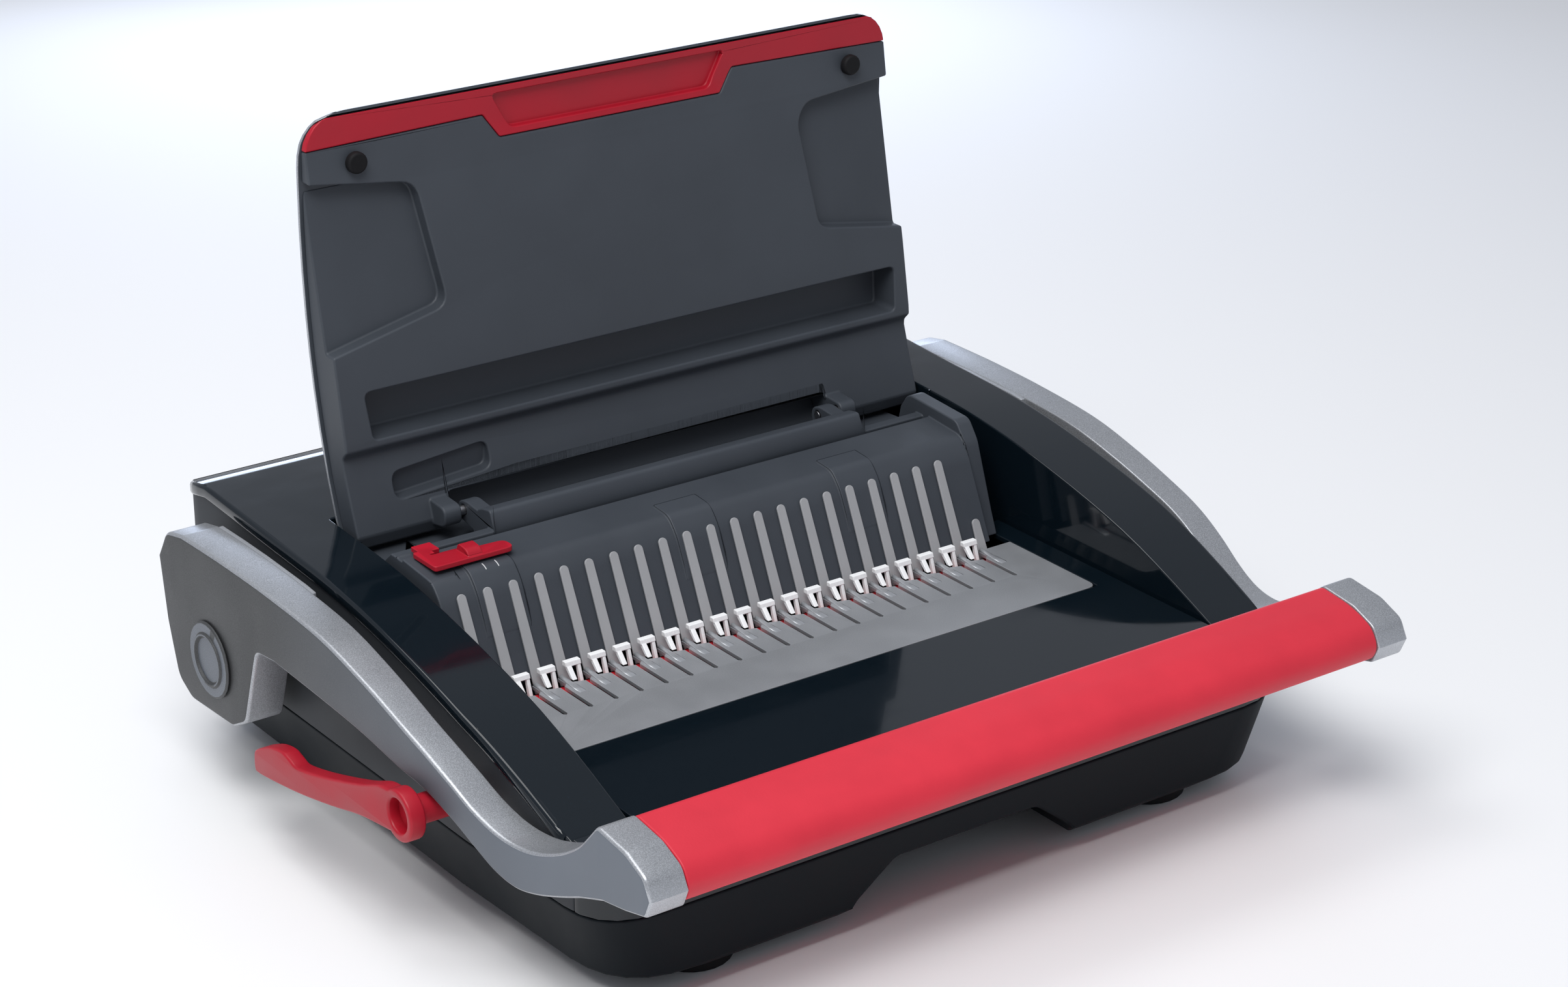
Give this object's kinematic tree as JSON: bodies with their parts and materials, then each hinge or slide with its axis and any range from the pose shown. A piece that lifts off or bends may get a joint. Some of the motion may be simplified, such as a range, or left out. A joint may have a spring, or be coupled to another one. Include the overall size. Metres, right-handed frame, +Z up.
{
  "type": "comb binding machine",
  "caption": "Manual desktop comb binding machine with a hinged punching handle, raised document lid, comb-opening side lever and a slotted plate with hooks.",
  "frame": {"origin": "middle of the whole machine's footprint, on the table under its feet", "axes": "+X along the binding edge to the user's right, +Y from the handle to the hinge side at the rear, +Z up"},
  "size_m": [0.4864, 0.438, 0.336],
  "materials": {
    "gloss_cover": "high-gloss near-black blue injection moulding",
    "dark_plastic": "fine-textured dark grey moulding",
    "base_plastic": "matt charcoal moulding",
    "red_plastic": "satin deep red moulding",
    "grip_red": "soft matt red grip with fine grain",
    "silver_paint": "metallic silver paint, fine flake",
    "plate_steel": "grained sheet metal",
    "finger_grey": "light grey coated comb",
    "hook_bright": "bright white-silver hooks",
    "steel": "plain machined steel",
    "rubber": "black rubber"
  },
  "bodies": {
    "base": {"base_tub": "base_plastic", "foot_front_left": "rubber", "foot_front_right": "rubber", "foot_rear_left": "rubber", "foot_rear_right": "rubber", "top_cover": "gloss_cover", "front_tray": "gloss_cover", "punch_plate": "plate_steel", "comb_fingers": "finger_grey", "comb_housing": "dark_plastic", "die_bar": "steel", "punch_guide": "steel", "lever_bearing": "steel", "spacer_left": "base_plastic", "spacer_right": "base_plastic"},
    "handle": {"arm_left": "silver_paint", "arm_right": "silver_paint", "handle_grip": "grip_red", "handle_shaft": "steel", "cam_left": "steel", "cam_right": "steel", "pivot_cap_left": "silver_paint", "pivot_cap_right": "silver_paint"},
    "punch": {"punch_bar": "steel", "punch_pins": "steel"},
    "lid": {"lid_shell": "silver_paint", "lid_panel": "dark_plastic", "lid_trim": "red_plastic", "lid_bumper_left": "rubber", "lid_bumper_right": "rubber", "lid_pin_left": "steel", "lid_pin_right": "steel"},
    "lever": {"comb_lever": "red_plastic", "lever_shaft": "steel", "lever_pinion": "steel"},
    "hooks": {"hook_bar": "hook_bright", "hook_rack": "steel"},
    "guide": {"paper_guide": "red_plastic"},
    "drawer": {"chip_drawer": "base_plastic"}
  },
  "joints": [
    {"name": "handle_swing", "type": "hinge", "parent": "base", "child": "handle", "pos_m": [0.00277, 0.13678, 0.0734], "axis": [-1, 0, 0], "range_deg": [0, 75]},
    {"name": "punch_slide", "type": "slide", "parent": "base", "child": "punch", "axis": [0, 1, 0], "range_m": [0, 0.01]},
    {"name": "lid_hinge", "type": "hinge", "parent": "base", "child": "lid", "pos_m": [0.00277, 0.09698, 0.136], "axis": [1, 0, 0], "range_deg": [0, 95]},
    {"name": "lever_swing", "type": "hinge", "parent": "base", "child": "lever", "pos_m": [0.00277, -0.05752, 0.0732], "axis": [1, 0, 0], "range_deg": [0, 100]},
    {"name": "hooks_slide", "type": "slide", "parent": "base", "child": "hooks", "axis": [0, -1, 0], "range_m": [0, 0.022]},
    {"name": "guide_slide", "type": "slide", "parent": "base", "child": "guide", "axis": [1, 0, 0], "range_m": [0, 0.03]},
    {"name": "drawer_slide", "type": "slide", "parent": "base", "child": "drawer", "axis": [0, -1, 0], "range_m": [0, 0.12]}
  ],
  "couplings": [
    {"joint": "punch_slide", "follows": "handle_swing", "m_per_rad": 0.0076},
    {"joint": "hooks_slide", "follows": "lever_swing", "m_per_rad": 0.0125}
  ]
}
